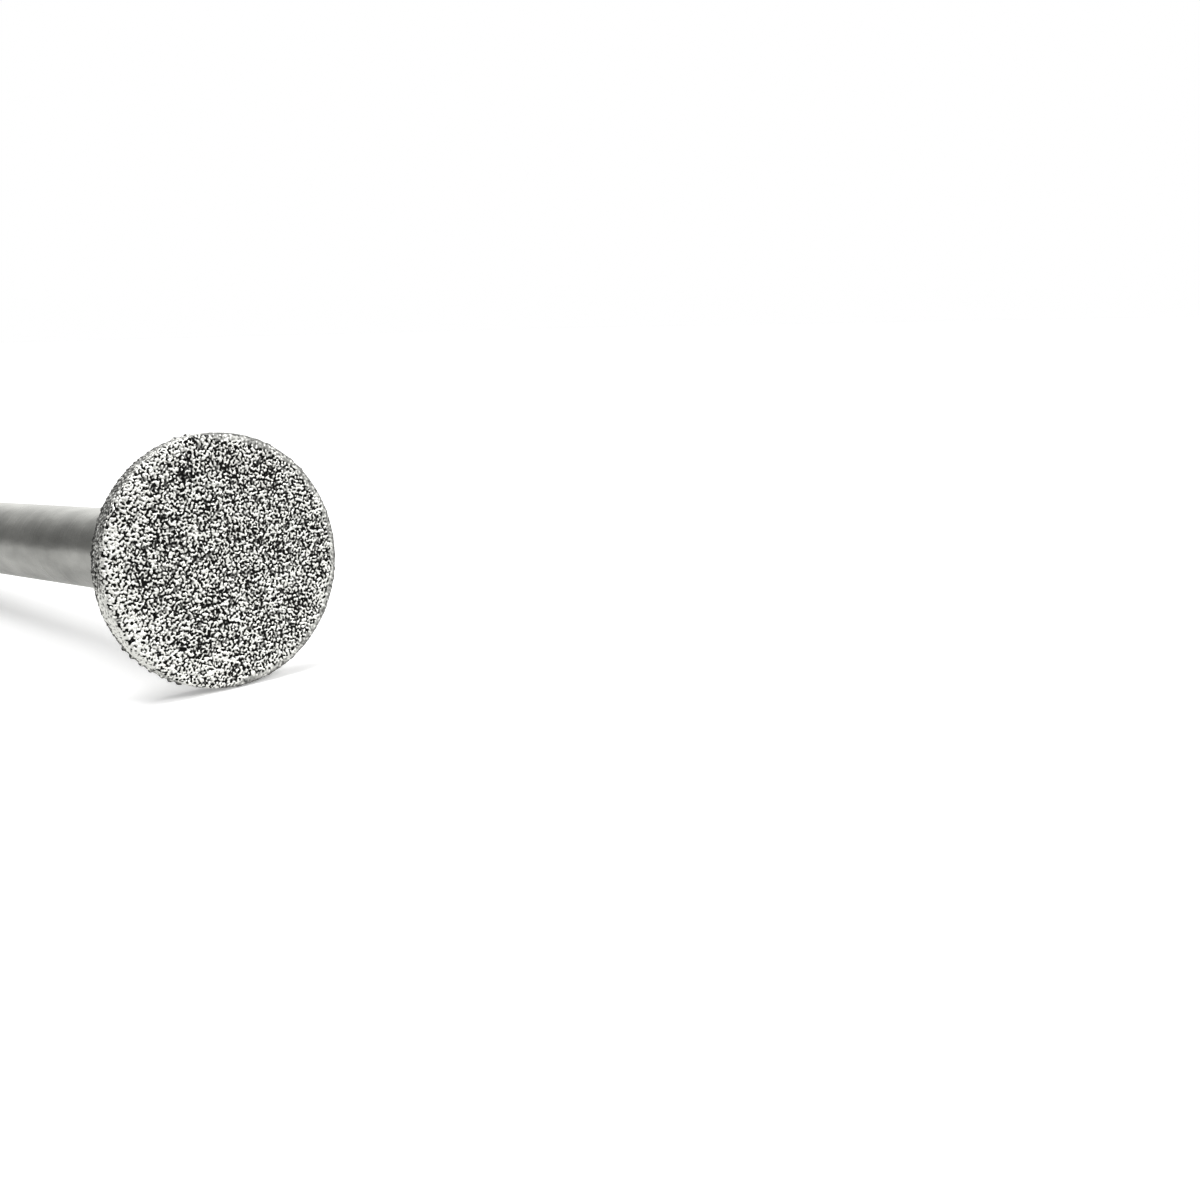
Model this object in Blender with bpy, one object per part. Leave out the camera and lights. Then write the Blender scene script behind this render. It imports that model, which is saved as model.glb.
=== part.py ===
"""Disc-headed diamond burr, lying at rest on its head's rim and its shank's end.

A steel blank is turned in one piece: a plain round shank and a thin disc.
Diamond grit in nickel plating wraps the disc's face, rim and back, and stops
short of the shank. Lengths are in metres, +Z is up, and the shank's end points
along +Y. The finished part is centred over the origin.
"""

import math
import random

import bmesh
import bpy
from mathutils import Matrix, Vector

# Shank
SHANK_DIAMETER = 0.0030
OVERALL_LENGTH = 0.0440
TAIL_CHAMFER = 0.0002
NECK_FILLET_RADIUS = 0.00025

# Head, measured over the grit
HEAD_DIAMETER = 0.0082
HEAD_THICKNESS = 0.00092
HEAD_EDGE_RADIUS = 0.00016

# Coating
COATING_THICKNESS = 0.00015
CORE_CHAMFER = 0.00006
BARE_NECK_WIDTH = 0.00035
BOND_CLEARANCE = 0.00001

# Grit relief
GRIT_SPACING = 0.00018
GRIT_RELIEF = 0.00004
GRIT_SCATTER = 0.22
PROUD_GRAIN_SHARE = 0.04
PROUD_GRAIN_HEIGHT = 0.00005
GRIT_SEED = 41

# Facets
ROUND_SEGMENTS = 72
FILLET_STEPS = 3
SMOOTH_LIMIT = math.radians(35.0)


def clear_scene():
    """Remove whatever objects the file holds."""
    for item in list(bpy.data.objects):
        bpy.data.objects.remove(item, do_unlink=True)


def make_material(name, colour, metallic, roughness):
    """Plain Principled material."""
    material = bpy.data.materials.new(name)
    material.use_nodes = True
    shader = material.node_tree.nodes["Principled BSDF"]
    shader.inputs["Base Color"].default_value = (*colour, 1.0)
    shader.inputs["Metallic"].default_value = metallic
    shader.inputs["Roughness"].default_value = roughness
    material.diffuse_color = (*colour, 1.0)
    return material


def on_axis_ring(radius, station, turn):
    """Point at a radius from the Y axis, a turn of 0 to 1 round it."""
    angle = 2.0 * math.pi * turn
    return Vector((radius * math.cos(angle), station, radius * math.sin(angle)))


def plain_ring(bm, radius, station, count):
    """Evenly spaced ring of vertices, each with its turn round the axis."""
    ring = []
    for index in range(count):
        turn = index / count
        vert = bm.verts.new(on_axis_ring(radius, station, turn))
        ring.append((turn, vert))
    return ring


def stitch(bm, first, second):
    """Join two rings of any two counts with triangles, in order of turn."""
    count_a = len(first)
    count_b = len(second)
    step_a = 0
    step_b = 0
    while step_a < count_a or step_b < count_b:
        a = first[step_a % count_a][1]
        b = second[step_b % count_b][1]
        next_turn_a = first[(step_a + 1) % count_a][0] + (step_a + 1) // count_a
        next_turn_b = second[(step_b + 1) % count_b][0] + (step_b + 1) // count_b
        take_a = step_b >= count_b or (step_a < count_a and next_turn_a <= next_turn_b)
        if take_a:
            bm.faces.new((a, first[(step_a + 1) % count_a][1], b))
            step_a += 1
        else:
            bm.faces.new((a, second[(step_b + 1) % count_b][1], b))
            step_b += 1


def fan(bm, centre, ring):
    """Close a ring with triangles round a centre vertex."""
    count = len(ring)
    for index in range(count):
        bm.faces.new((ring[index][1], ring[(index + 1) % count][1], centre))


def finish_mesh(bm, name, material, smooth):
    """Turn the faces out and give the mesh its object."""
    bmesh.ops.recalc_face_normals(bm, faces=bm.faces)
    mesh = bpy.data.meshes.new(name)
    bm.to_mesh(mesh)
    bm.free()
    mesh.materials.append(material)
    if smooth:
        mesh.shade_smooth()
        mesh.set_sharp_from_angle(angle=SMOOTH_LIMIT)
    item = bpy.data.objects.new(name, mesh)
    bpy.context.collection.objects.link(item)
    return item


def arc(centre_radius, centre_station, radius, start, end, steps):
    """Profile points along an arc, as (radius, station) pairs."""
    points = []
    for step in range(steps + 1):
        angle = start + (end - start) * step / steps
        across = centre_radius + radius * math.cos(angle)
        along = centre_station + radius * math.sin(angle)
        points.append((across, along))
    return points


def blank_profile():
    """Turned outline of the blank, from the disc's face to the shank's end."""
    shank_radius = SHANK_DIAMETER / 2.0
    core_radius = HEAD_DIAMETER / 2.0 - COATING_THICKNESS
    front = COATING_THICKNESS
    back = HEAD_THICKNESS - COATING_THICKNESS
    points = [(core_radius - CORE_CHAMFER, front), (core_radius, front + CORE_CHAMFER)]
    points += [(core_radius, back - CORE_CHAMFER), (core_radius - CORE_CHAMFER, back)]
    points += arc(
        shank_radius + NECK_FILLET_RADIUS,
        back + NECK_FILLET_RADIUS,
        NECK_FILLET_RADIUS,
        -math.pi / 2.0,
        -math.pi,
        FILLET_STEPS,
    )
    points.append((shank_radius, OVERALL_LENGTH - TAIL_CHAMFER))
    points.append((shank_radius - TAIL_CHAMFER, OVERALL_LENGTH))
    return points


def build_blank(material):
    """Shank and disc, turned from one bar."""
    bm = bmesh.new()
    rings = [plain_ring(bm, r, y, ROUND_SEGMENTS) for r, y in blank_profile()]
    for index in range(len(rings) - 1):
        for spot in range(ROUND_SEGMENTS):
            after = (spot + 1) % ROUND_SEGMENTS
            corners = (rings[index][spot], rings[index][after], rings[index + 1][after], rings[index + 1][spot])
            bm.faces.new([corner[1] for corner in corners])
    bm.faces.new([vert for turn, vert in rings[0]])
    bm.faces.new([vert for turn, vert in rings[-1]])
    return finish_mesh(bm, "steel_blank", material, smooth=True)


def coating_profile():
    """Outer outline of the coating: (radius, station, outward across, outward along)."""
    outer = HEAD_DIAMETER / 2.0
    flat = outer - HEAD_EDGE_RADIUS
    opening = SHANK_DIAMETER / 2.0 + NECK_FILLET_RADIUS + BARE_NECK_WIDTH
    rows = []
    face_rows = round(flat / GRIT_SPACING)
    for row in range(1, face_rows + 1):
        rows.append((flat * row / face_rows, 0.0, 0.0, -1.0))
    half = math.sqrt(0.5)
    front_centre = HEAD_EDGE_RADIUS
    back_centre = HEAD_THICKNESS - HEAD_EDGE_RADIUS
    rows.append((flat + half * HEAD_EDGE_RADIUS, front_centre - half * HEAD_EDGE_RADIUS, half, -half))
    rim_length = back_centre - front_centre
    rim_rows = max(2, round(rim_length / GRIT_SPACING))
    for row in range(rim_rows + 1):
        rows.append((outer, front_centre + rim_length * row / rim_rows, 1.0, 0.0))
    rows.append((flat + half * HEAD_EDGE_RADIUS, back_centre + half * HEAD_EDGE_RADIUS, half, half))
    back_rows = round((flat - opening) / GRIT_SPACING)
    for row in range(back_rows + 1):
        rows.append((flat + (opening - flat) * row / back_rows, HEAD_THICKNESS, 0.0, 1.0))
    return rows


def grit_ring(bm, row, rng):
    """Ring of vertices that stand proud or low like grains in plating."""
    radius, station, across, along = row
    count = max(6, round(2.0 * math.pi * radius / GRIT_SPACING))
    ring = []
    for index in range(count):
        turn = (index + GRIT_SCATTER * rng.uniform(-1.0, 1.0) + GRIT_SCATTER) / count
        height = GRIT_RELIEF * rng.uniform(-1.0, 1.0)
        if rng.random() < PROUD_GRAIN_SHARE:
            height = GRIT_RELIEF + PROUD_GRAIN_HEIGHT * rng.random()
        slide = GRIT_SCATTER * GRIT_SPACING * rng.uniform(-1.0, 1.0)
        spot = on_axis_ring(radius + across * height - along * slide, station + along * height + across * slide, turn)
        ring.append((turn, bm.verts.new(spot)))
    return ring


def build_coating(material):
    """Nickel-bonded grit round the disc, open at the back where the shank passes."""
    rng = random.Random(GRIT_SEED)
    bm = bmesh.new()
    rings = [grit_ring(bm, row, rng) for row in coating_profile()]
    centre = bm.verts.new((0.0, -GRIT_RELIEF * rng.random(), 0.0))
    fan(bm, centre, rings[0])
    for before, after in zip(rings, rings[1:]):
        stitch(bm, before, after)

    opening = SHANK_DIAMETER / 2.0 + NECK_FILLET_RADIUS + BARE_NECK_WIDTH
    pocket_radius = HEAD_DIAMETER / 2.0 - COATING_THICKNESS + BOND_CLEARANCE
    pocket_front = COATING_THICKNESS - BOND_CLEARANCE
    pocket_back = HEAD_THICKNESS - COATING_THICKNESS + BOND_CLEARANCE
    lip = plain_ring(bm, opening, pocket_back, ROUND_SEGMENTS)
    back_corner = plain_ring(bm, pocket_radius, pocket_back, ROUND_SEGMENTS)
    front_corner = plain_ring(bm, pocket_radius, pocket_front, ROUND_SEGMENTS)
    stitch(bm, rings[-1], lip)
    stitch(bm, lip, back_corner)
    stitch(bm, back_corner, front_corner)
    bm.faces.new([vert for turn, vert in front_corner])
    return finish_mesh(bm, "diamond_coating", material, smooth=False)


def centre_of_volume(items):
    """Centre of the solids' volume, from tetrahedra on each triangle."""
    total = 0.0
    moment = Vector()
    for item in items:
        mesh = item.data
        mesh.calc_loop_triangles()
        for triangle in mesh.loop_triangles:
            a, b, c = (mesh.vertices[index].co for index in triangle.vertices)
            volume = a.dot(b.cross(c)) / 6.0
            total += volume
            moment += (a + b + c) * (volume / 4.0)
    return moment / total


def inside_triangle(point, corners, normal):
    """True if a point lies over a triangle, seen along its normal."""
    for index in range(3):
        side = corners[(index + 1) % 3] - corners[index]
        if side.cross(point - corners[index]).dot(normal) < 0.0:
            return False
    return True


def resting_side(items, weight):
    """Outward normal of the hull face that holds the part's weight lowest."""
    bm = bmesh.new()
    for item in items:
        for vert in item.data.vertices:
            bm.verts.new(vert.co)
    bmesh.ops.remove_doubles(bm, verts=bm.verts, dist=1e-7)
    hull = bmesh.ops.convex_hull(bm, input=bm.verts)
    faces = [part for part in hull["geom"] if isinstance(part, bmesh.types.BMFace)]
    lowest = math.inf
    side = None
    for face in faces:
        normal = face.normal.copy()
        corners = [vert.co.copy() for vert in face.verts]
        if normal.dot(corners[0] - weight) < 0.0:
            normal.negate()
            corners.reverse()
        height = normal.dot(corners[0] - weight)
        if height < lowest and inside_triangle(weight, corners, normal):
            lowest = height
            side = normal
    bm.free()
    return side


def rest_matrix(items):
    """Pose that lays the part on the ground and centres it over the origin."""
    down = resting_side(items, centre_of_volume(items))
    lay = down.rotation_difference(Vector((0.0, 0.0, -1.0))).to_matrix()
    along = lay @ Vector((0.0, 1.0, 0.0))
    square = Matrix.Rotation(math.atan2(along.x, along.y), 3, "Z")
    turn = square @ lay
    points = [turn @ vert.co for item in items for vert in item.data.vertices]
    low = Vector([min(point[axis] for point in points) for axis in range(3)])
    high = Vector([max(point[axis] for point in points) for axis in range(3)])
    shift = Vector((-(low.x + high.x) / 2.0, -(low.y + high.y) / 2.0, -low.z))
    return Matrix.Translation(shift) @ turn.to_4x4()


def build():
    """The whole burr, laid down on the ground."""
    clear_scene()
    steel = make_material("steel", (0.50, 0.50, 0.49), 1.0, 0.38)
    grit = make_material("diamond_grit", (0.42, 0.42, 0.41), 0.7, 0.55)
    items = [build_blank(steel), build_coating(grit)]
    pose = bpy.data.objects.new("rest_pose", None)
    pose.empty_display_size = HEAD_DIAMETER
    bpy.context.collection.objects.link(pose)
    pose.matrix_world = rest_matrix(items)
    for item in items:
        item.parent = pose
    bpy.context.view_layer.update()


build()
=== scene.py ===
import math

import bpy
import numpy as np
from mathutils import Matrix, Vector, kdtree


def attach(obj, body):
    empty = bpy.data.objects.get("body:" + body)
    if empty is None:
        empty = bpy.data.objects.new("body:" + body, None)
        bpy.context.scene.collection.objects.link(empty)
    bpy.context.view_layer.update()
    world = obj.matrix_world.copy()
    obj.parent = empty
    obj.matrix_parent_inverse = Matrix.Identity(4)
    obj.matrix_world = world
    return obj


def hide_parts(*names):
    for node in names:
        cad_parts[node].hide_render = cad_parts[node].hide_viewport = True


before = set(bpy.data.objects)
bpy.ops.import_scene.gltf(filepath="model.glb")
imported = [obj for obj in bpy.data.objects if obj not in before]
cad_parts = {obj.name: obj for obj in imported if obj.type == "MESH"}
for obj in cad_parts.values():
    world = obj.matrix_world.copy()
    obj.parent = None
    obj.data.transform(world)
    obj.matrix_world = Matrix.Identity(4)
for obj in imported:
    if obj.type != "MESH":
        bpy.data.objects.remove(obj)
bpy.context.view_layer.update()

# Sizes of the part, in metres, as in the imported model
SHANK_RADIUS = 0.0015
OVERALL_LENGTH = 0.0440
TAIL_CHAMFER = 0.0002
NECK_FILLET = 0.00025
HEAD_RADIUS = 0.0041
HEAD_THICKNESS = 0.00092
HEAD_EDGE = 0.00016
COATING = 0.00015
CORE_CHAMFER = 0.00006
BARE_NECK = 0.00035

# Turning of the steel: points round it, steps round the fillet, stretches along the shank
STEEL_POINTS = 160
FILLET_STEPS = 8
SHANK_RUNS = 24
STEEL_SHARP = math.radians(30.0)

# Mesh of the grit: steps between points, and how far a point strays as a share of its step
FACE_STEP = 0.0000245
REAR_STEP = 0.0000265
MESH_SCATTER = 0.15
LEAST_ROW_POINTS = 6
LEAST_EDGE_ROWS = 3
LEAST_LIP_ROWS = 2
FLOOR_MARGIN = 0.000002

# Seeds of the random draws
GRAIN_SEED = 7
CLUSTER_SEED = 12
PATCH_SEED = 17
CONTRAST_SEED = 22
FACET_SEED = 27
PROUD_SEED = 37
FACE_SEED = 3
REAR_SEED = 4

# Grains: flat facets, each with the tone and height of the waves at its middle
GRIT_HEIGHT = 0.000015
FACET_PITCH = 0.000036
FACET_SHARE = 0.35
FACET_SCATTER = 0.3
CENTRE_SCATTER = 0.45
GRAIN_PERIOD = 0.000114
GRAIN_SPREAD = 0.36
GRAIN_WAVES = 260
CLUSTER_PERIOD = 0.00025
CLUSTER_SPREAD = 0.4
CLUSTER_WAVES = 100
CLUSTER_SHARE = 0.4
CONTRAST_PERIOD = 0.00035
CONTRAST_SPREAD = 0.4
CONTRAST_WAVES = 60
CONTRAST_SWING = 0.7
PATCH_PERIOD = 0.00085
PATCH_SPREAD = 0.5
PATCH_WAVES = 60
PATCH_SHARE = 0.17
TONE_GAIN = 1.16
OPEN_TONE = 0.385

# Single grains that stand proud, and the row of nickel nodules low on the left of the rim, with painted
# shade on the lower nodules
PROUD_PITCH = 0.00045
PROUD_SHARE = 0.22
PROUD_RADIUS = 0.00011
PROUD_HEIGHT = 0.00007
PROUD_LEAST = 0.4
PROUD_ROUNDNESS = 0.7
PROUD_SUNK = 0.6
NODULES = 6
NODULE_START = math.radians(218.0)
NODULE_END = math.radians(243.0)
NODULE_STRAY = 0.01
NODULE_STATIONS = (0.45, 0.75)
NODULE_HEIGHT = 0.00009
NODULE_SHADE = 0.55
NODULE_FADE = 2.0

# Plating that buries the grains: where it starts, measured outwards from the flat faces
BURIED_LEFT = 0.00024
BURIED_RIGHT = -0.00010
BURIED_BACK = 0.00006
BURIED_WANDER = 0.00005
BURIED_FADE = 0.00008
BARE_CORNER = 0.00015
CORNER_FADE = 1.5
SIDE_BLEND = 0.00010
LEFT_START = -0.1
LEFT_FADE = 0.4
SMOOTH_SIDE = 0.6

# Painted highlight: grains lighter towards the edge, on the left and low down, where the rounded edge
# catches the light
EDGE_LIFT = 0.10
LEFT_LIFT = 0.30
LOW_LIFT = 0.16
LIFT_WIDTH = 0.00060
LIFT_LEAN = 0.00050
PALE_START = -0.05
PALE_END = 0.65
PALE_FADE = 0.25
PALE_LIFT = 0.5

# Tone of the plated rim: its specks, its pits darkened partly as painted shade, its painted highlight
# low on the left, and the thin line of painted shade where it turns over
EDGE_TONE = 0.62
RIM_TONE = 0.50
RIM_LIFT = 0.44
RIM_FADE = 0.0002
RIM_CONTRAST = 0.15
RIM_PATCHES = 0.06
RIM_RELIEF = 0.8
PIT_START = 0.8
PIT_FADE = 0.5
PIT_DEPTH = 0.45
SPECK_START = 0.95
SPECK_FADE = 0.4
SPECK_RISE = 0.45
OUTLINE_SHARE = 0.65
OUTLINE_LEVEL = 0.8
OUTLINE_DRIFT = 0.35
FRONT_OUTLINE = 0.7
FRONT_WIDTH = 0.00020
FRONT_LEAN = 0.00006
FRONT_FADE = 0.00008
BACK_START = 0.00008
BACK_END = 0.00033
BACK_LEAN = 0.00045
BACK_FADE = 0.00005

# Camera, in the part's own frame
CAMERA_PLACE = (-0.0202005, -0.0583178, 0.0113226)
CAMERA_YAW = math.radians(45.538)
CAMERA_PITCH = math.radians(12.302)
CAMERA_ROLL = math.radians(-1.26)
FOCAL_PIXELS = 1267.3
PHOTO_PIXELS = 1200.0
SENSOR_WIDTH = 36.0
CLIP_START = 0.001
CLIP_END = 10.0

# Lamps: the direction towards each, its strength, and its width in degrees
LEFT_TOWARD = (-0.22, -0.05, 1.0)
RIGHT_TOWARD = (0.65, -1.0, 1.0)
SIDE_LAMP = 1.1
SIDE_WIDTH = 26.0
TOP_TOWARD = (0.2, 0.0, 1.0)
TOP_LAMP = 0.6
TOP_WIDTH = 30.0

# World: an even sky, and a room that only the metal mirrors, dark low on the left and bright above
SKY_STRENGTH = 0.5
ROOM_STRENGTH = 1.7
ROOM_SLOPE = (0.9, 0.0, 0.45)
ROOM_LOW = -0.5
ROOM_HIGH = 0.6
ROOM_STOPS = ((0.0, 0.13), (0.35, 0.20), (0.62, 0.52), (0.85, 1.0))

# Table: its glow for the camera and in what the metal mirrors, and where its painted pool of light fades
TABLE_SIZE = 2.0
TABLE_NEAR = 0.020
TABLE_FAR = 0.045
TABLE_STOPS = ((0.0, 0.85), (1.0, 0.38))
FLOOR_GLOW = 0.25
MIRRORED_GLOW = 1.2
MIRRORED_SHARE = 0.5

# Materials: colour and roughness as (position, value), noise scales in 1/mm
WHITE = (1.0, 1.0, 1.0, 1.0)
WARMTH = 0.97
GRIT_COLOURS = ((0.08, 0.004), (0.5, 0.25), (0.92, 0.97))
GRIT_ROUGHNESS = ((0.1, 0.65), (0.8, 0.34))
GRIT_METALLIC = 0.6
GRIT_SPECULAR = 0.2
STEEL_COLOURS = ((0.30, 0.22), (0.50, 0.31), (0.72, 0.42))
STEEL_ROUGHNESS = ((0.25, 0.24), (0.75, 0.38))
CLOUD_SCALE = (1.1, 0.45, 1.1)
CLOUD_DETAIL = 4.0
RING_SCALE = (0.6, 26.0, 0.6)
RING_DETAIL = 3.0
WAVY_STRENGTH = 0.5
WAVY_DISTANCE = 0.00004
RING_STRENGTH = 0.15
RING_DISTANCE = 0.000004
MM = 1000.0


def axis_frame():
    """Matrix from the burr's own axes (Y along the shank, 0 at the head's face) to the row frame."""
    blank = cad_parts["steel_blank"]
    points = np.array([blank.matrix_world @ vert.co for vert in blank.data.vertices])
    middle = points.mean(axis=0)
    axis = np.linalg.svd(points - middle, full_matrices=False)[2][0]
    if axis[1] < 0.0:
        axis = -axis
    front = ((points - middle) @ axis).min()
    origin = Vector(middle + axis * (front - COATING))
    along = Vector(axis)
    across = along.cross(Vector((0.0, 0.0, 1.0))).normalized()
    up = across.cross(along)
    matrix = Matrix((across, along, up)).transposed().to_4x4()
    matrix.translation = origin
    return matrix


def put_mesh(name, points, faces, smooth):
    """New object at the origin from points already in the row frame."""
    mesh = bpy.data.meshes.new(name)
    mesh.from_pydata(points, [], faces)
    mesh.validate()
    if smooth:
        mesh.shade_smooth()
    item = bpy.data.objects.new(name, mesh)
    bpy.context.collection.objects.link(item)
    return item


def arc(across, along, radius, start, end, steps):
    """Points along an arc of the outline, as (radius, station, normal across, normal along)."""
    points = []
    for step in range(steps + 1):
        angle = start + (end - start) * step / steps
        cosine = math.cos(angle)
        sine = math.sin(angle)
        points.append((across + radius * cosine, along + radius * sine, cosine, sine))
    return points


def line(start, end, normal, steps):
    """Points along a straight of the outline, without its start, as arc gives them."""
    points = []
    for step in range(1, steps + 1):
        across = start[0] + (end[0] - start[0]) * step / steps
        along = start[1] + (end[1] - start[1]) * step / steps
        points.append((across, along) + normal)
    return points


def coating_outline(step):
    """Rows of the coating's outer surface, from the face's middle to the back's opening."""
    flat = HEAD_RADIUS - HEAD_EDGE
    rear_edge = HEAD_THICKNESS - HEAD_EDGE
    opening = SHANK_RADIUS + NECK_FILLET + BARE_NECK
    inside = HEAD_THICKNESS - COATING
    edge_rows = max(LEAST_EDGE_ROWS, round(HEAD_EDGE * math.pi / 2.0 / step))
    lip_rows = max(LEAST_LIP_ROWS, round(COATING / step))
    rows = line((0.0, 0.0), (flat, 0.0), (0.0, -1.0), round(flat / step))
    rows += arc(flat, HEAD_EDGE, HEAD_EDGE, -math.pi / 2.0, 0.0, edge_rows)[1:]
    split = len(rows)
    rim_rows = round((rear_edge - HEAD_EDGE) / step)
    rows += line((HEAD_RADIUS, HEAD_EDGE), (HEAD_RADIUS, rear_edge), (1.0, 0.0), rim_rows)
    rows += arc(flat, rear_edge, HEAD_EDGE, 0.0, math.pi / 2.0, edge_rows)[1:]
    back_rows = round((flat - opening) / step)
    rows += line((flat, HEAD_THICKNESS), (opening, HEAD_THICKNESS), (0.0, 1.0), back_rows)
    rows += line((opening, HEAD_THICKNESS), (opening, inside), (-1.0, 0.0), lip_rows)
    return rows, split


def row_points(row, step, scatter, rng):
    """Points round one row, with their turns, normals and a scatter along the surface."""
    radius, station, across, along = row
    count = max(LEAST_ROW_POINTS, round(2.0 * math.pi * radius / step))
    turns = (np.arange(count) + scatter * rng.uniform(-1.0, 1.0, count) + scatter) / count
    slide = scatter * step * rng.uniform(-1.0, 1.0, count)
    angle = 2.0 * math.pi * turns
    reach = radius - along * slide
    place = station + across * slide
    points = np.stack([reach * np.cos(angle), place, reach * np.sin(angle)], axis=1)
    normals = np.stack([across * np.cos(angle), np.full(count, along), across * np.sin(angle)], axis=1)
    return turns, points, normals


def scattered(step, seed):
    """Points and normals all over the coating, about a step apart."""
    rng = np.random.default_rng(seed)
    rows = coating_outline(step)[0]
    parts = [row_points(row, step, CENTRE_SCATTER, rng) for row in rows]
    points = np.concatenate([part[1] for part in parts])
    normals = np.concatenate([part[2] for part in parts])
    return points, normals


def tree_of(points):
    """Search tree over points."""
    tree = kdtree.KDTree(len(points))
    for index, point in enumerate(points):
        tree.insert(point, index)
    tree.balance()
    return tree


class Waves:
    """Seeded sum of plane waves over a flat pair of coordinates."""

    def __init__(self, period, spread, count, seed):
        rng = np.random.default_rng(seed)
        pace = 2.0 * math.pi / period * np.exp(rng.normal(0.0, spread, count))
        heading = rng.uniform(0.0, 2.0 * math.pi, count)
        self.across = pace * np.cos(heading)
        self.along = pace * np.sin(heading)
        self.phase = rng.uniform(0.0, 2.0 * math.pi, count)

    def at(self, first, second):
        total = np.zeros(len(first))
        for across, along, phase in zip(self.across, self.along, self.phase):
            total += np.cos(across * first + along * second + phase)
        return total / math.sqrt(len(self.phase) / 2.0)


def smooth_step(value):
    """0 below 0, 1 above 1, with soft ends."""
    inside = np.clip(value, 0.0, 1.0)
    return inside * inside * (3.0 - 2.0 * inside)


def band(value, low, high, soft):
    """1 between low and high, 0 outside, with soft ends."""
    return smooth_step((value - low) / soft) * smooth_step((high - value) / soft)


class Spots:
    """Places on the coating: how far left, low and behind, and the run outwards over the edges."""

    def __init__(self, points, normals):
        flat = HEAD_RADIUS - HEAD_EDGE
        radius = np.hypot(points[:, 0], points[:, 2])
        bend = np.arccos(np.clip(np.abs(normals[:, 1]), 0.0, 1.0))
        depth = np.minimum(points[:, 1], HEAD_THICKNESS - points[:, 1])
        self.left = -points[:, 0] / np.maximum(radius, HEAD_EDGE)
        self.low = -points[:, 2] / np.maximum(radius, HEAD_EDGE)
        self.run = HEAD_EDGE * bend + np.minimum(radius - flat, 0.0) + np.maximum(depth - HEAD_EDGE, 0.0)
        self.behind = smooth_step((points[:, 1] - HEAD_THICKNESS / 2.0) / SIDE_BLEND + 0.5)
        self.across = -self.left * (flat + self.run)
        self.along = -self.low * (flat + self.run)


class Wrapped:
    """Waves unrolled from the face and from the back over the edges, blended on the rim."""

    def __init__(self, period, spread, count, seed):
        self.front = Waves(period, spread, count, seed)
        self.rear = Waves(period, spread, count, seed + 1)

    def at(self, spots):
        total = np.zeros(len(spots.run))
        for share, waves in ((1.0 - spots.behind, self.front), (spots.behind, self.rear)):
            seen = share > 0.0
            total[seen] += share[seen] * waves.at(spots.across[seen], spots.along[seen])
        return total / np.hypot(spots.behind, 1.0 - spots.behind)


class Plating:
    """Where the nickel buries the grains and how light it is there, with a painted highlight towards the
    edge and low on the left, and a thin line of painted shade along the rim.
    """

    def __init__(self, spots, drift):
        leftward = smooth_step((spots.left - LEFT_START) / LEFT_FADE)
        pale_end = smooth_step((spots.low - PALE_END) / PALE_FADE)
        pale = smooth_step((spots.low - PALE_START) / PALE_FADE) * (1.0 - pale_end)
        self.rough = 1.0 - SMOOTH_SIDE * (1.0 - leftward) * (1.0 - spots.behind)
        self.open_grit = self.bare_share(spots, drift, leftward)
        self.lift = self.painted_edge_highlight(spots, pale)
        # Painted highlight: the plated rim is made lighter low on the left, standing in for the light it
        # catches there.
        rim_tone = RIM_TONE + RIM_LIFT * pale * leftward
        self.tone = EDGE_TONE + (rim_tone - EDGE_TONE) * smooth_step(spots.run / RIM_FADE)
        # Painted shade: a thin dark line along the rim's edges, wider low down at the back.
        self.shade = self.painted_shade_line(spots, drift, leftward)

    def bare_share(self, spots, drift, leftward):
        """1 where the grains are open, 0 where the plating buries them."""
        start = BURIED_RIGHT + (BURIED_LEFT - BURIED_RIGHT) * leftward
        start += BARE_CORNER * smooth_step(-spots.low * CORNER_FADE) * leftward
        start += (BURIED_BACK - start) * spots.behind + BURIED_WANDER * self.rough * drift
        return smooth_step((start - spots.run) / BURIED_FADE + 0.5)

    def painted_edge_highlight(self, spots, pale):
        """Painted highlight: how much lighter the open grains are towards the edge, where the rounded
        edge catches the light.
        """
        left_lift = LEFT_LIFT * (1.0 + PALE_LIFT * pale) * smooth_step(spots.left)
        lift = EDGE_LIFT + left_lift + LOW_LIFT * smooth_step(spots.low)
        width = LIFT_WIDTH + LIFT_LEAN * np.maximum(spots.left, spots.low)
        return lift * (1.0 - smooth_step(-spots.run / width))

    def painted_shade_line(self, spots, drift, leftward):
        """Share of the tone that is left along the thin line of painted shade on the rim, wider low down
        at the back, where the rim faces the table.
        """
        start = FRONT_LEAN * np.abs(spots.low)
        ahead = band(spots.run, start, FRONT_WIDTH + start, FRONT_FADE) * (1.0 - leftward)
        ahead *= FRONT_OUTLINE
        below = np.maximum(spots.low, 0.0) ** 3
        behind = band(spots.run, BACK_START, BACK_END + BACK_LEAN * below, BACK_FADE) * leftward
        outline = ahead + (behind - ahead) * spots.behind
        return 1.0 - OUTLINE_SHARE * outline * smooth_step(OUTLINE_LEVEL + OUTLINE_DRIFT * drift)


def nodule_row(rng):
    """Centres of the nickel nodules in a row on the rim, low on the left."""
    angle = np.linspace(NODULE_START, NODULE_END, NODULES)
    angle += rng.uniform(-NODULE_STRAY, NODULE_STRAY, NODULES)
    station = HEAD_THICKNESS * rng.uniform(*NODULE_STATIONS, NODULES)
    return np.stack([HEAD_RADIUS * np.cos(angle), station, HEAD_RADIUS * np.sin(angle)], axis=1)


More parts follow.
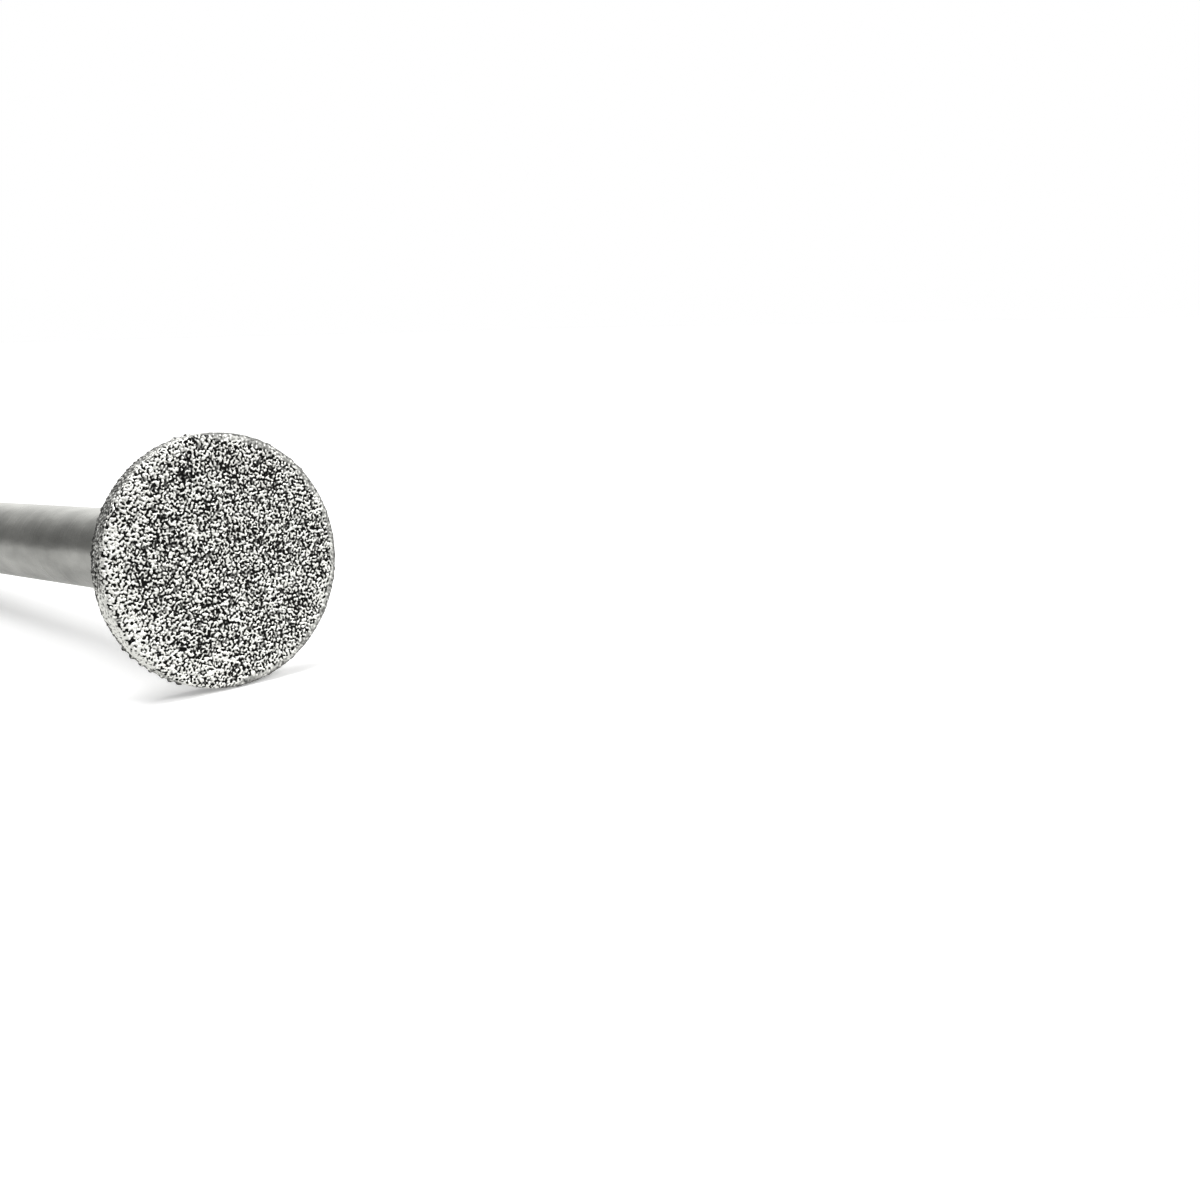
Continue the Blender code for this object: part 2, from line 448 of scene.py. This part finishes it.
class GritField:
    """Height and tone of the grit over the coating's surface."""

    def __init__(self):
        rng = np.random.default_rng(GRAIN_SEED)
        self.grain = Wrapped(GRAIN_PERIOD, GRAIN_SPREAD, GRAIN_WAVES, GRAIN_SEED)
        self.cluster = Wrapped(CLUSTER_PERIOD, CLUSTER_SPREAD, CLUSTER_WAVES, CLUSTER_SEED)
        self.contrast = Wrapped(CONTRAST_PERIOD, CONTRAST_SPREAD, CONTRAST_WAVES, CONTRAST_SEED)
        self.patch = Wrapped(PATCH_PERIOD, PATCH_SPREAD, PATCH_WAVES, PATCH_SEED)
        facets, normals = scattered(FACET_PITCH, FACET_SEED)
        self.facet_tree = tree_of(facets)
        self.facet_value = self.grain.at(Spots(facets, normals))
        self.facet_value += FACET_SCATTER * rng.normal(0.0, 1.0, len(facets))
        proud = scattered(PROUD_PITCH, PROUD_SEED)[0]
        proud = proud[rng.random(len(proud)) < PROUD_SHARE]
        proud = np.concatenate([proud, nodule_row(rng)])
        self.proud_tree = tree_of(proud)
        self.proud_rise = PROUD_HEIGHT * rng.uniform(PROUD_LEAST, 1.0, len(proud))
        self.proud_rise[-NODULES:] = NODULE_HEIGHT

    def nearest(self, points):
        """For many points, the nearest facet, the nearest proud grain and how far off that one is."""
        facet = np.zeros(len(points), dtype=int)
        proud = np.zeros(len(points), dtype=int)
        reach = np.zeros(len(points))
        for index, point in enumerate(points):
            spot = Vector(point)
            facet[index] = self.facet_tree.find(spot)[1]
            proud[index], reach[index] = self.proud_tree.find(spot)[1:]
        return facet, proud, reach

    def sample(self, points, normals):
        """Heights, tones and share of open grit at many points."""
        facet, proud, reach = self.nearest(points)
        spots = Spots(points, normals)
        value = FACET_SHARE * self.facet_value[facet] + (1.0 - FACET_SHARE) * self.grain.at(spots)
        value *= math.sqrt(1.0 - CLUSTER_SHARE ** 2)
        value += CLUSTER_SHARE * self.cluster.at(spots)
        swing = np.exp(CONTRAST_SWING * self.contrast.at(spots))
        patch = self.patch.at(spots)
        plating = Plating(spots, patch)
        # The same value raises the grains and sets their tone, so hollows and pits are darker: partly
        # the grit's own varied tone, partly painted shade.
        pits = smooth_step((-value - PIT_START) / PIT_FADE)
        specks = smooth_step((value - SPECK_START) / SPECK_FADE)
        detail = RIM_CONTRAST * value + SPECK_RISE * specks - PIT_DEPTH * pits
        buried_tone = (plating.tone + RIM_PATCHES * patch + detail * plating.rough) * plating.shade
        open_tone = OPEN_TONE + TONE_GAIN * value * swing + PATCH_SHARE * patch + plating.lift
        bump = np.clip(1.0 - (reach / PROUD_RADIUS) ** 2, 0.0, 1.0) ** PROUD_ROUNDNESS
        bump *= (1.0 - PROUD_SUNK * plating.open_grit) * plating.rough
        # Painted shade: nodules in the lower half of the rim are darkened, more the lower they sit.
        buried_tone *= 1.0 - NODULE_SHADE * bump * smooth_step(spots.low * NODULE_FADE)
        tones = buried_tone + (open_tone - buried_tone) * plating.open_grit
        buried = (1.0 - plating.open_grit) * plating.rough
        relief = plating.open_grit + RIM_RELIEF * buried
        heights = GRIT_HEIGHT * (value * relief - pits * buried) + self.proud_rise[proud] * bump
        return heights, tones, plating.open_grit


def zip_rows(first, second, start_a, start_b):
    """Triangles between two rows of points with any two counts."""
    faces = []
    count_a = len(first)
    count_b = len(second)
    a = 0
    b = 0
    while a < count_a or b < count_b:
        turn_a = first[(a + 1) % count_a] + (a + 1) // count_a
        turn_b = second[(b + 1) % count_b] + (b + 1) // count_b
        spot_a = start_a + a % count_a
        spot_b = start_b + b % count_b
        if b >= count_b or (a < count_a and turn_a <= turn_b):
            faces.append((spot_a, start_a + (a + 1) % count_a, spot_b))
            a += 1
        else:
            faces.append((spot_a, start_b + (b + 1) % count_b, spot_b))
            b += 1
    return faces


def grit_piece(name, rows, step, closed_start, field, matrix, material, seed):
    """One piece of the grit: its rows of points raised by the field and joined."""
    rng = np.random.default_rng(seed)
    parts = [row_points(row, step, MESH_SCATTER, rng) for row in rows]
    turns = [part[0] for part in parts]
    points = np.concatenate([part[1] for part in parts])
    normals = np.concatenate([part[2] for part in parts])
    starts = [0] + np.cumsum([len(turn) for turn in turns]).tolist()
    faces = []
    for index in range(len(rows) - 1):
        faces += zip_rows(turns[index], turns[index + 1], starts[index], starts[index + 1])
    if closed_start:
        points = np.concatenate([points, [[0.0, 0.0, 0.0]]])
        normals = np.concatenate([normals, [[0.0, -1.0, 0.0]]])
        hub = len(points) - 1
        ring = len(turns[0])
        faces += [(spot, hub, (spot + 1) % ring) for spot in range(ring)]
    heights, tones, open_grit = field.sample(points, normals)
    raised = points + normals * heights[:, None]
    placed = np.array([matrix @ Vector(point) for point in raised])
    placed[:, 2] = np.maximum(placed[:, 2], FLOOR_MARGIN)
    item = put_mesh(name, placed.tolist(), faces, smooth=False)
    buried = open_grit[np.array([face[0] for face in faces])] < 0.5
    item.data.polygons.foreach_set("use_smooth", buried)
    layer = item.data.attributes.new("tone", "FLOAT", "POINT")
    layer.data.foreach_set("value", tones.astype(np.float32))
    item.data.materials.append(material)
    return item


def ramp_node(nodes, stops):
    """Colour ramp through faintly warm grey stops given as (position, value)."""
    ramp = nodes.new("ShaderNodeValToRGB")
    elements = ramp.color_ramp.elements
    while len(elements) < len(stops):
        elements.new(0.5)
    for element, (position, value) in zip(elements, stops):
        element.position = position
        element.color = (value, value, value * WARMTH, 1.0)
    return ramp


def grit_material():
    """Diamond grains plated in nickel: bright ridges and facets round dark hollows, whose dark tone is
    partly painted shade.
    """
    material = bpy.data.materials.new("diamond_grit")
    material.use_nodes = True
    nodes = material.node_tree.nodes
    links = material.node_tree.links
    shader = nodes["Principled BSDF"]
    tone = nodes.new("ShaderNodeAttribute")
    tone.attribute_name = "tone"
    colour = ramp_node(nodes, GRIT_COLOURS)
    roughness = ramp_node(nodes, GRIT_ROUGHNESS)
    links.new(tone.outputs["Fac"], colour.inputs["Fac"])
    links.new(tone.outputs["Fac"], roughness.inputs["Fac"])
    links.new(colour.outputs["Color"], shader.inputs["Base Color"])
    links.new(roughness.outputs["Color"], shader.inputs["Roughness"])
    shader.inputs["Metallic"].default_value = GRIT_METALLIC
    shader.inputs["Specular IOR Level"].default_value = GRIT_SPECULAR
    return material


def blank_outline():
    """Turned outline of the steel, from the disc's face to the shank's end."""
    core = HEAD_RADIUS - COATING
    front = COATING
    back = HEAD_THICKNESS - COATING
    points = [(0.0, front), (core - CORE_CHAMFER, front), (core, front + CORE_CHAMFER)]
    points += [(core, back - CORE_CHAMFER), (core - CORE_CHAMFER, back)]
    middle = (SHANK_RADIUS + NECK_FILLET, back + NECK_FILLET)
    fillet = arc(middle[0], middle[1], NECK_FILLET, -math.pi / 2.0, -math.pi, FILLET_STEPS)
    points += [(spot[0], spot[1]) for spot in fillet]
    start = back + NECK_FILLET
    end = OVERALL_LENGTH - TAIL_CHAMFER
    stations = [start + (end - start) * run / SHANK_RUNS for run in range(1, SHANK_RUNS + 1)]
    points += [(SHANK_RADIUS, station) for station in stations]
    points += [(SHANK_RADIUS - TAIL_CHAMFER, OVERALL_LENGTH), (0.0, OVERALL_LENGTH)]
    return points


def steel_piece(matrix, material):
    """The blank with a finer turning than the CAD's."""
    outline = blank_outline()
    points = []
    for radius, station in outline:
        for spot in range(STEEL_POINTS):
            angle = 2.0 * math.pi * spot / STEEL_POINTS
            own = Vector((radius * math.cos(angle), station, radius * math.sin(angle)))
            points.append(matrix @ own)
    faces = []
    for row in range(len(outline) - 1):
        near = row * STEEL_POINTS
        far = near + STEEL_POINTS
        for spot in range(STEEL_POINTS):
            after = (spot + 1) % STEEL_POINTS
            faces.append((near + spot, near + after, far + after, far + spot))
    item = put_mesh("shank_steel", points, faces, smooth=True)
    item.data.set_sharp_from_angle(angle=STEEL_SHARP)
    back_to_own = matrix.inverted()
    places = [list(back_to_own @ Vector(point) * MM) for point in points]
    layer = item.data.attributes.new("place", "FLOAT_VECTOR", "POINT")
    layer.data.foreach_set("vector", np.array(places, dtype=np.float32).ravel())
    item.data.materials.append(material)
    return item


def noise_over(nodes, links, source, scale, detail):
    """Noise over stretched coordinates, about 0.5 on average."""
    stretch = nodes.new("ShaderNodeMapping")
    stretch.inputs["Scale"].default_value = scale
    noise = nodes.new("ShaderNodeTexNoise")
    noise.inputs["Scale"].default_value = 1.0
    noise.inputs["Detail"].default_value = detail
    links.new(source, stretch.inputs["Vector"])
    links.new(stretch.outputs["Vector"], noise.inputs["Vector"])
    return noise.outputs["Fac"]


def bump_node(nodes, links, height, strength, distance):
    """Bump from a height."""
    bump = nodes.new("ShaderNodeBump")
    bump.inputs["Strength"].default_value = strength
    bump.inputs["Distance"].default_value = distance
    links.new(height, bump.inputs["Height"])
    return bump


def steel_material():
    """Ground steel: fine rings from the grinding, cloudy tone, faint waviness."""
    material = bpy.data.materials.new("ground_steel")
    material.use_nodes = True
    nodes = material.node_tree.nodes
    links = material.node_tree.links
    shader = nodes["Principled BSDF"]
    place = nodes.new("ShaderNodeAttribute")
    place.attribute_name = "place"
    clouds = noise_over(nodes, links, place.outputs["Vector"], CLOUD_SCALE, CLOUD_DETAIL)
    rings = noise_over(nodes, links, place.outputs["Vector"], RING_SCALE, RING_DETAIL)
    colour = ramp_node(nodes, STEEL_COLOURS)
    roughness = ramp_node(nodes, STEEL_ROUGHNESS)
    wavy = bump_node(nodes, links, clouds, WAVY_STRENGTH, WAVY_DISTANCE)
    ringed = bump_node(nodes, links, rings, RING_STRENGTH, RING_DISTANCE)
    links.new(clouds, colour.inputs["Fac"])
    links.new(rings, roughness.inputs["Fac"])
    links.new(wavy.outputs["Normal"], ringed.inputs["Normal"])
    links.new(colour.outputs["Color"], shader.inputs["Base Color"])
    links.new(roughness.outputs["Color"], shader.inputs["Roughness"])
    links.new(ringed.outputs["Normal"], shader.inputs["Normal"])
    shader.inputs["Metallic"].default_value = 1.0
    return material


def make_camera():
    """Camera where the photograph's camera stood."""
    data = bpy.data.cameras.new("camera")
    data.sensor_width = SENSOR_WIDTH
    data.lens = FOCAL_PIXELS * SENSOR_WIDTH / PHOTO_PIXELS
    data.clip_start = CLIP_START
    data.clip_end = CLIP_END
    item = bpy.data.objects.new("camera", data)
    bpy.context.collection.objects.link(item)
    ahead = Vector((math.sin(CAMERA_YAW), math.cos(CAMERA_YAW), 0.0))
    side = Vector((math.cos(CAMERA_YAW), -math.sin(CAMERA_YAW), 0.0))
    top = Vector((0.0, 0.0, 1.0))
    look = math.cos(CAMERA_PITCH) * ahead - math.sin(CAMERA_PITCH) * top
    raised = math.cos(CAMERA_PITCH) * top + math.sin(CAMERA_PITCH) * ahead
    right = math.cos(CAMERA_ROLL) * side + math.sin(CAMERA_ROLL) * raised
    up = -math.sin(CAMERA_ROLL) * side + math.cos(CAMERA_ROLL) * raised
    matrix = Matrix((right, up, -look)).transposed().to_4x4()
    matrix.translation = Vector(CAMERA_PLACE)
    item.matrix_world = matrix
    bpy.context.scene.camera = item


def table_shade(nodes, links):
    """Colour of the table, darker with distance from the part: a painted pool of light round the part,
    which the camera doesn't see.
    """
    place = nodes.new("ShaderNodeNewGeometry")
    reach = nodes.new("ShaderNodeVectorMath")
    reach.operation = "LENGTH"
    far = nodes.new("ShaderNodeMapRange")
    far.inputs["From Min"].default_value = TABLE_NEAR
    far.inputs["From Max"].default_value = TABLE_FAR
    shade = ramp_node(nodes, TABLE_STOPS)
    links.new(place.outputs["Position"], reach.inputs[0])
    links.new(reach.outputs["Value"], far.inputs["Value"])
    links.new(far.outputs["Result"], shade.inputs["Fac"])
    return shade.outputs["Color"]


def mix_shaders(nodes, links, factor, first, second):
    """Mix of two shaders by a factor, which is a number or the output of a node."""
    mix = nodes.new("ShaderNodeMixShader")
    if isinstance(factor, float):
        mix.inputs["Fac"].default_value = factor
    else:
        links.new(factor, mix.inputs["Fac"])
    links.new(first, mix.inputs[1])
    links.new(second, mix.inputs[2])
    return mix.outputs["Shader"]


def table_material():
    """White to the camera with the part's shadow on it, half glowing in what the metal mirrors."""
    material = bpy.data.materials.new("white_table")
    material.use_nodes = True
    nodes = material.node_tree.nodes
    links = material.node_tree.links
    nodes.clear()
    output = nodes.new("ShaderNodeOutputMaterial")
    shade = table_shade(nodes, links)
    lit = nodes.new("ShaderNodeBsdfDiffuse")
    links.new(shade, lit.inputs["Color"])
    bright = nodes.new("ShaderNodeEmission")
    bright.inputs["Strength"].default_value = MIRRORED_GLOW
    links.new(shade, bright.inputs["Color"])
    white = nodes.new("ShaderNodeBsdfDiffuse")
    white.inputs["Color"].default_value = WHITE
    glow = nodes.new("ShaderNodeEmission")
    glow.inputs["Strength"].default_value = FLOOR_GLOW
    seen = nodes.new("ShaderNodeAddShader")
    links.new(white.outputs["BSDF"], seen.inputs[0])
    links.new(glow.outputs["Emission"], seen.inputs[1])
    path = nodes.new("ShaderNodeLightPath")
    mirrored = mix_shaders(nodes, links, MIRRORED_SHARE, lit.outputs["BSDF"], bright.outputs["Emission"])
    other = mix_shaders(nodes, links, path.outputs["Is Glossy Ray"], lit.outputs["BSDF"], mirrored)
    last = mix_shaders(nodes, links, path.outputs["Is Camera Ray"], other, seen.outputs["Shader"])
    links.new(last, output.inputs["Surface"])
    return material


def make_floor():
    """Pale table under the part."""
    size = TABLE_SIZE
    corners = [(-size, -size, 0.0), (size, -size, 0.0), (size, size, 0.0), (-size, size, 0.0)]
    floor = put_mesh("table", corners, [(0, 1, 2, 3)], smooth=False)
    floor.data.materials.append(table_material())


def room_background(nodes, links):
    """Room with a bright ceiling and a dark horizon, by the direction that a ray goes."""
    coordinate = nodes.new("ShaderNodeTexCoord")
    slope = nodes.new("ShaderNodeVectorMath")
    slope.operation = "DOT_PRODUCT"
    slope.inputs[1].default_value = ROOM_SLOPE
    level = nodes.new("ShaderNodeMapRange")
    level.inputs["From Min"].default_value = ROOM_LOW
    level.inputs["From Max"].default_value = ROOM_HIGH
    ramp = ramp_node(nodes, ROOM_STOPS)
    room = nodes.new("ShaderNodeBackground")
    room.inputs["Strength"].default_value = ROOM_STRENGTH
    links.new(coordinate.outputs["Generated"], slope.inputs[0])
    links.new(slope.outputs["Value"], level.inputs["Value"])
    links.new(level.outputs["Result"], ramp.inputs["Fac"])
    links.new(ramp.outputs["Color"], room.inputs["Color"])
    return room


def make_world():
    """Even white light, a white view, and the room in what the metal mirrors."""
    world = bpy.data.worlds.new("studio")
    bpy.context.scene.world = world
    world.use_nodes = True
    nodes = world.node_tree.nodes
    links = world.node_tree.links
    nodes.clear()
    output = nodes.new("ShaderNodeOutputWorld")
    white = nodes.new("ShaderNodeBackground")
    white.inputs["Color"].default_value = WHITE
    white.inputs["Strength"].default_value = SKY_STRENGTH
    seen = nodes.new("ShaderNodeBackground")
    seen.inputs["Color"].default_value = WHITE
    room = room_background(nodes, links)
    path = nodes.new("ShaderNodeLightPath")
    first = white.outputs["Background"]
    other = mix_shaders(nodes, links, path.outputs["Is Glossy Ray"], first, room.outputs["Background"])
    last = mix_shaders(nodes, links, path.outputs["Is Camera Ray"], other, seen.outputs["Background"])
    links.new(last, output.inputs["Surface"])


def soft_sun(name, toward, strength, width):
    """Lamp far away in a direction, with soft shadows."""
    data = bpy.data.lights.new(name, "SUN")
    data.energy = strength
    data.angle = math.radians(width)
    item = bpy.data.objects.new(name, data)
    bpy.context.collection.objects.link(item)
    item.rotation_euler = Vector(toward).to_track_quat("Z", "Y").to_euler()


def make_lamps():
    """Soft lamps on the camera's left and right, and one overhead."""
    soft_sun("left", LEFT_TOWARD, SIDE_LAMP, SIDE_WIDTH)
    soft_sun("right", RIGHT_TOWARD, SIDE_LAMP, SIDE_WIDTH)
    soft_sun("overhead", TOP_TOWARD, TOP_LAMP, TOP_WIDTH)


def dress_steel(matrix):
    """The turned steel in place of the CAD's blank."""
    steel = steel_piece(matrix, steel_material())
    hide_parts("steel_blank")
    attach(steel, "root")


def dress_coating(matrix):
    """The grit in two pieces in place of the CAD's coating."""
    field = GritField()
    grit = grit_material()
    rows, split = coating_outline(FACE_STEP)
    face_rows = rows[:split]
    face = grit_piece("grit_face", face_rows, FACE_STEP, True, field, matrix, grit, FACE_SEED)
    rows, split = coating_outline(REAR_STEP)
    rear_rows = rows[split - 1:]
    rear = grit_piece("grit_rim_and_back", rear_rows, REAR_STEP, False, field, matrix, grit, REAR_SEED)
    for piece in (face, rear):
        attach(piece, "root")
        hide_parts("diamond_coating")


bpy.context.scene.view_settings.view_transform = "Standard"
part_matrix = axis_frame()
make_camera()
make_floor()
make_world()
make_lamps()
dress_steel(part_matrix)
dress_coating(part_matrix)
